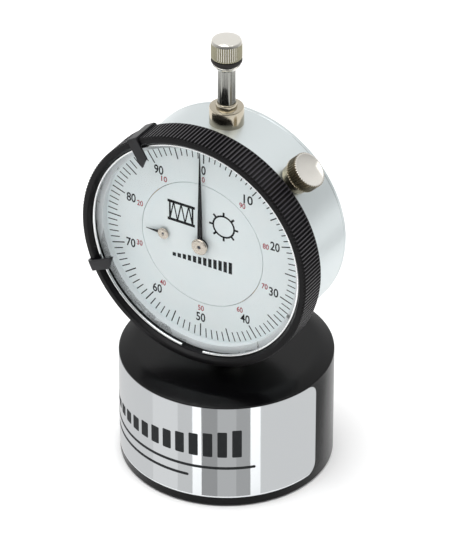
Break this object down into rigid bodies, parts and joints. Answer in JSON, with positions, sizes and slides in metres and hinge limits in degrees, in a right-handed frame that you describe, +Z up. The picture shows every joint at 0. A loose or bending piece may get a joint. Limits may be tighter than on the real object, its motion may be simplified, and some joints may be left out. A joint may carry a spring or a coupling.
{
  "type": "drumhead tension gauge",
  "caption": "Dial gauge on a weighted round foot: a sprung tip under the foot drives the hands, with a turning bezel, rim markers, brake knob and lift cap.",
  "frame": {"origin": "centre of the foot's underside, on the surface it stands on", "axes": "+Z up along the spindle, the dial faces -Y, +X to the right of the dial"},
  "size_m": [0.058, 0.0495, 0.1088],
  "materials": {
    "foot_black": "semi-gloss black enamel on turned steel",
    "label_foil": "mirror-silver polyester foil",
    "screw_steel": "zinc-plated steel",
    "stem_nickel": "polished nickel plate",
    "guide_bronze": "reamed bronze",
    "case_satin": "satin nickel on a die-cast case",
    "bezel_black": "satin black over straight knurling",
    "crystal_clear": "clear acrylic, polished",
    "ring_bright": "bright spring steel",
    "dial_white": "matt white lacquer with printed scale",
    "marker_black": "black oxide spring steel",
    "plate_brass": "brass sheet, fine grained",
    "gear_brass": "hobbed brass",
    "arbor_steel": "hardened steel, ground",
    "jewel_bronze": "bearing bronze",
    "spindle_steel": "ground and polished stainless steel",
    "cap_nickel": "knurled nickel plate",
    "ring_rubber": "moulded nitrile rubber",
    "hand_black": "black lacquer on sheet brass",
    "hub_nickel": "champagne nickel plate",
    "spring_wire": "drawn spring wire",
    "clamp_nickel": "champagne nickel plate over knurled brass"
  },
  "bodies": {
    "stand": {"foot_weight": "foot_black", "foot_label": "label_foil", "foot_set_screw": "screw_steel", "stem_tube": "stem_nickel", "lower_guide_bush": "guide_bronze", "case_shell": "case_satin", "back_cover": "case_satin", "back_cover_screws": "screw_steel", "upper_bushing": "stem_nickel", "spindle_wiper": "stem_nickel", "front_plate": "plate_brass", "rear_plate": "plate_brass", "plate_pillars": "plate_brass", "pillar_screws": "screw_steel", "movement_posts": "plate_brass", "movement_screws": "screw_steel", "rack_arbor_cock": "plate_brass", "arbor_jewels": "jewel_bronze", "dial_centre_disc": "dial_white", "dial_feet": "plate_brass", "guide_fork": "plate_brass", "spring_post": "arbor_steel", "return_spring": "spring_wire", "hairspring": "spring_wire", "hairspring_stud": "plate_brass"},
    "bezel": {"bezel_ring": "bezel_black", "crystal": "crystal_clear", "crystal_retaining_ring": "ring_bright", "dial_scale_ring": "dial_white"},
    "upper_marker": {"limit_marker_upper": "marker_black"},
    "lower_marker": {"limit_marker_lower": "marker_black"},
    "spindle": {"spindle_rack": "spindle_steel", "guide_pin": "arbor_steel", "lift_cap": "cap_nickel", "cap_o_ring": "ring_rubber", "contact_rod": "spindle_steel", "contact_tip": "spindle_steel"},
    "rack_gears": {"rack_arbor": "arbor_steel", "rack_pinion": "arbor_steel", "drive_wheel": "gear_brass"},
    "centre_hand": {"centre_arbor": "arbor_steel", "centre_drive_pinion": "arbor_steel", "centre_count_pinion": "arbor_steel", "main_hand": "hand_black", "main_hand_hub": "hub_nickel", "main_hand_collet": "arbor_steel"},
    "small_hand": {"counter_arbor": "arbor_steel", "counter_wheel": "gear_brass", "counter_hand": "hand_black", "counter_hand_hub": "hub_nickel", "counter_hand_collet": "arbor_steel"},
    "brake_shoe": {"clamp_shoe": "guide_bronze"},
    "brake_knob": {"clamp_screw": "screw_steel", "clamp_knob": "clamp_nickel"}
  },
  "joints": [
    {"name": "spindle_slide", "type": "slide", "parent": "stand", "child": "spindle", "axis": [0, 0, 1], "range_m": [-0.00254, 0.004], "stiffness_N_per_m": 60, "springref_m": -0.008, "deforming": ["return_spring"]},
    {"name": "centre_hand_turn", "type": "hinge", "parent": "stand", "child": "centre_hand", "pos_m": [0, -0.006, 0.0609], "axis": [0, 1, 0], "range_deg": [-361, 568]},
    {"name": "rack_gears_turn", "type": "hinge", "parent": "stand", "child": "rack_gears", "pos_m": [-0.00352, -0.004, 0.05362], "axis": [0, 1, 0], "range_deg": [-114, 73]},
    {"name": "small_hand_turn", "type": "hinge", "parent": "stand", "child": "small_hand", "pos_m": [-0.00984, -0.006, 0.0609], "axis": [0, 1, 0], "range_deg": [-57.5, 37]},
    {"name": "bezel_turn", "type": "hinge", "parent": "stand", "child": "bezel", "pos_m": [0, -0.01, 0.0609], "axis": [0, 1, 0], "continuous": true},
    {"name": "upper_marker_turn", "type": "hinge", "parent": "bezel", "child": "upper_marker", "pos_m": [0, -0.012, 0.0609], "axis": [0, 1, 0], "range_deg": [-36, 150]},
    {"name": "lower_marker_turn", "type": "hinge", "parent": "bezel", "child": "lower_marker", "pos_m": [0, -0.012, 0.0609], "axis": [0, 1, 0], "range_deg": [-90, 36]},
    {"name": "brake_feed", "type": "slide", "parent": "stand", "child": "brake_shoe", "axis": [0.7071, 0, 0.7071], "range_m": [0, 0.00075]},
    {"name": "brake_knob_turn", "type": "hinge", "parent": "brake_shoe", "child": "brake_knob", "pos_m": [0, -0.003, 0.0609], "axis": [0.7071, 0, 0.7071], "range_deg": [0, 541]}
  ],
  "couplings": [
    {"joint": "centre_hand_turn", "follows": "spindle_slide", "rad_per_m": 2473.7},
    {"joint": "rack_gears_turn", "follows": "spindle_slide", "rad_per_m": -494.74},
    {"joint": "small_hand_turn", "follows": "spindle_slide", "rad_per_m": -247.37},
    {"joint": "brake_knob_turn", "follows": "brake_feed", "rad_per_m": 12566}
  ]
}
